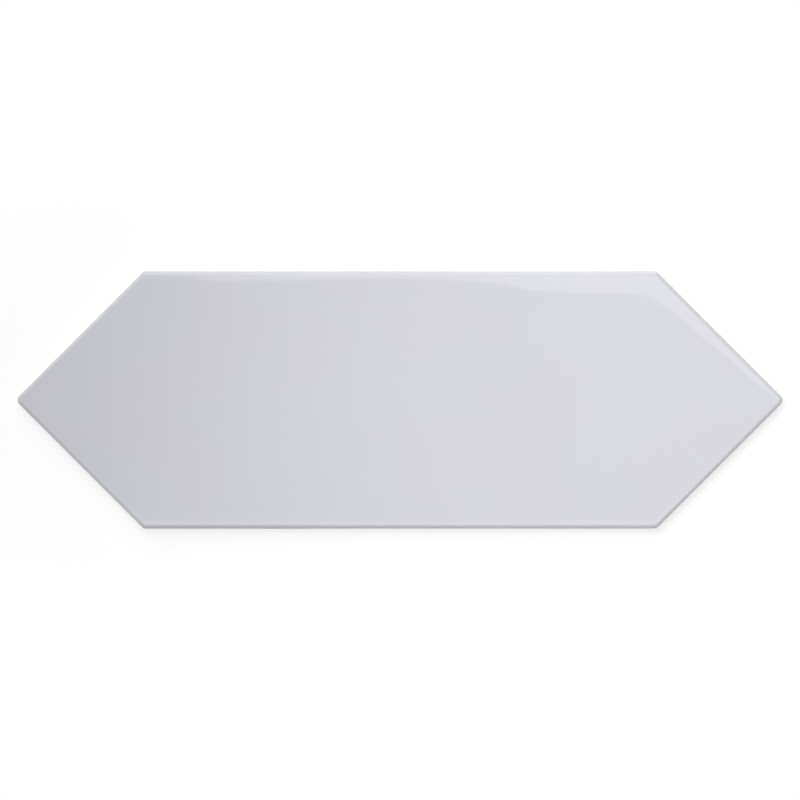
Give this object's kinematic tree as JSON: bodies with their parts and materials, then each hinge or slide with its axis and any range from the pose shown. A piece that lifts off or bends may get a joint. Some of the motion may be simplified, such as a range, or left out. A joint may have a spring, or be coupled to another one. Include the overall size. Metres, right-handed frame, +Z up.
{
  "type": "picket tile",
  "caption": "Long hexagonal wall tile with two pointed ends, a glossy off-white glazed face with soft edges, and a red clay back with shallow keying pockets.",
  "frame": {"origin": "middle of the tile's back, on the plane that the ribs and rim of the back rest on", "axes": "+X along the tile to one of its two points, +Y across it to one long edge, +Z up out of the glazed face"},
  "size_m": [0.298, 0.1, 0.008],
  "materials": {
    "glaze": "gloss, smooth with slow waves, off-white with a trace of blue",
    "biscuit": "matte, fine-grained fired red clay, on the sides and back where no glaze lies"
  },
  "bodies": {
    "root": {"picket_tile": "glaze"}
  },
  "joints": []
}
